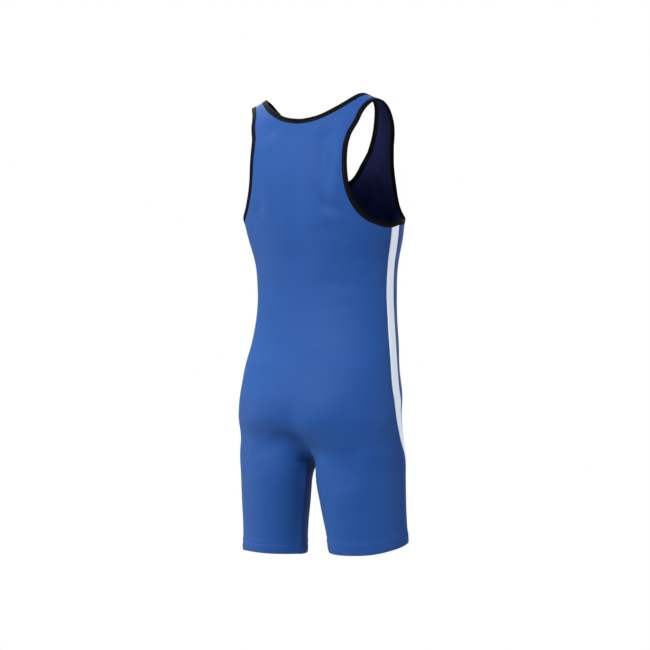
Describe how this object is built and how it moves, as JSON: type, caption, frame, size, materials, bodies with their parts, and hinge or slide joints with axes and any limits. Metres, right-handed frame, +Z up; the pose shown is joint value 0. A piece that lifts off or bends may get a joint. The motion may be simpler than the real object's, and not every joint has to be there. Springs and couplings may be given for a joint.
{
  "type": "weightlifting singlet",
  "caption": "Sleeveless one-piece weightlifting singlet in stretch knit, mid-thigh legs, scoop neck, bound edges and a plain side band, filled out as worn and hollow.",
  "frame": {"origin": "midway between the two shoulder ridges of the straps, where the wearer's shoulders hold the singlet", "axes": "+Z up, the front of the garment faces -Y, the wearer's left is +X"},
  "size_m": [0.3359, 0.243, 0.8611],
  "materials": {
    "blue_knit": "smooth matte stretch warp knit with a faint sheen",
    "white_knit": "plain white stretch knit",
    "black_binding": "folded black elastic binding, matte"
  },
  "bodies": {
    "root": {"back_panel": "blue_knit", "front_panel": "blue_knit", "side_band_left": "white_knit", "side_band_right": "white_knit", "neck_binding": "black_binding", "armhole_binding_left": "black_binding", "armhole_binding_right": "black_binding"}
  },
  "joints": []
}
